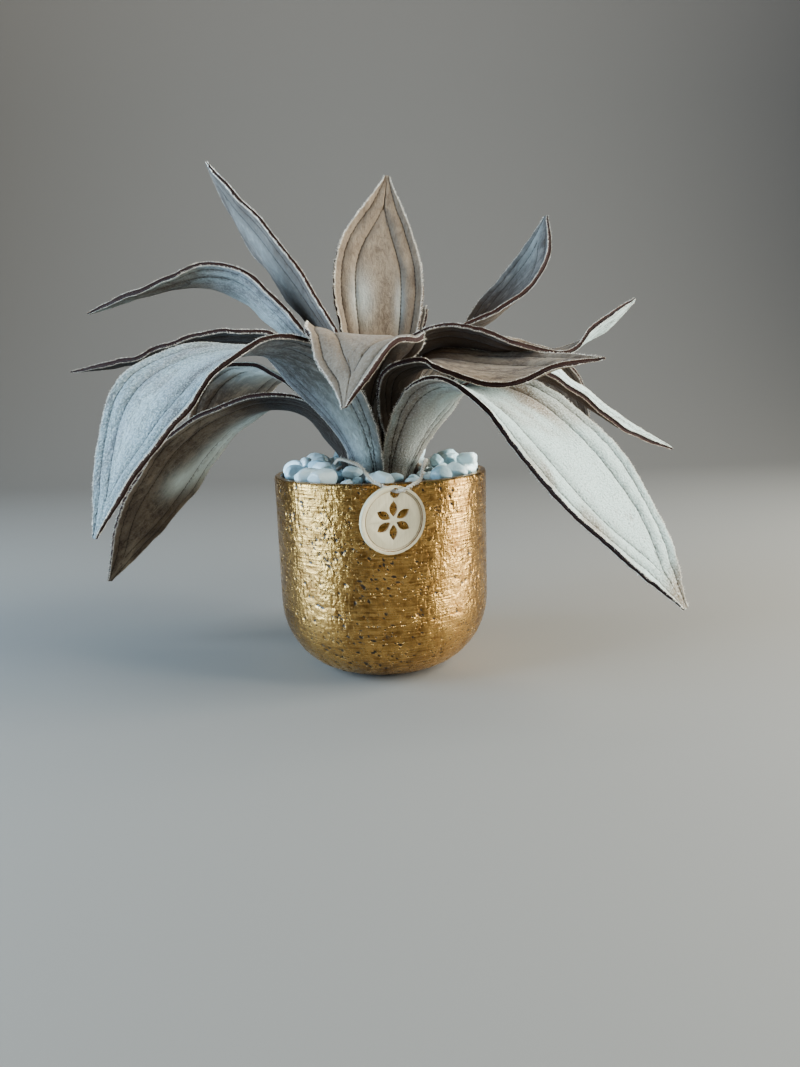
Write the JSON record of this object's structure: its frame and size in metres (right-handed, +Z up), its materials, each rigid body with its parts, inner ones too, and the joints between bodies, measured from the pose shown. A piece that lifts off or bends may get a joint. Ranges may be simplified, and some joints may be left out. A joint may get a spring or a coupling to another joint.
{
  "type": "handmade velvet agave in a gold pot",
  "caption": "Potted agave of arched, stitched velvet leaves rising from white pebbles in a pitted gold pot, with a round wooden tag on twine.",
  "frame": {"origin": "centre of the pot's flat underside", "axes": "+Z up out of the pot, +X to the viewer's right, the picture looks along +Y"},
  "size_m": [0.4541, 0.2817, 0.3439],
  "materials": {
    "gold": "antique gold metallic paint on pitted plaster, brushed round the pot",
    "filler": "plain foam",
    "pebble": "tumbled white stones, half polished",
    "jute": "two-ply natural twine",
    "tag_wood": "pale birch, cut and lightly engraved",
    "velvet": "champagne velvet, two plies sewn back to back with raw edges",
    "wire": "galvanised"
  },
  "bodies": {
    "root": {"pot": "gold", "filler": "filler", "pebbles": "pebble", "twine": "jute", "tag": "tag_wood", "leaf_front_left": "velvet", "leaf_front_right": "velvet", "leaf_left_low": "velvet", "leaf_back_left_low": "velvet", "leaf_back_low": "velvet", "leaf_back_right_low": "velvet", "leaf_right_low": "velvet", "leaf_front": "velvet", "leaf_right": "velvet", "leaf_back": "velvet", "leaf_left_upper": "velvet", "leaf_left": "velvet", "leaf_upright": "velvet", "leaf_left_steep": "velvet", "leaf_right_steep": "velvet", "leaf_right_upper": "velvet", "wire_front_left": "wire", "wire_front_right": "wire", "wire_left_low": "wire", "wire_back_left_low": "wire", "wire_back_low": "wire", "wire_back_right_low": "wire", "wire_right_low": "wire", "wire_front": "wire", "wire_right": "wire", "wire_back": "wire", "wire_left_upper": "wire", "wire_left": "wire", "wire_upright": "wire", "wire_left_steep": "wire", "wire_right_steep": "wire", "wire_right_upper": "wire"}
  },
  "joints": []
}
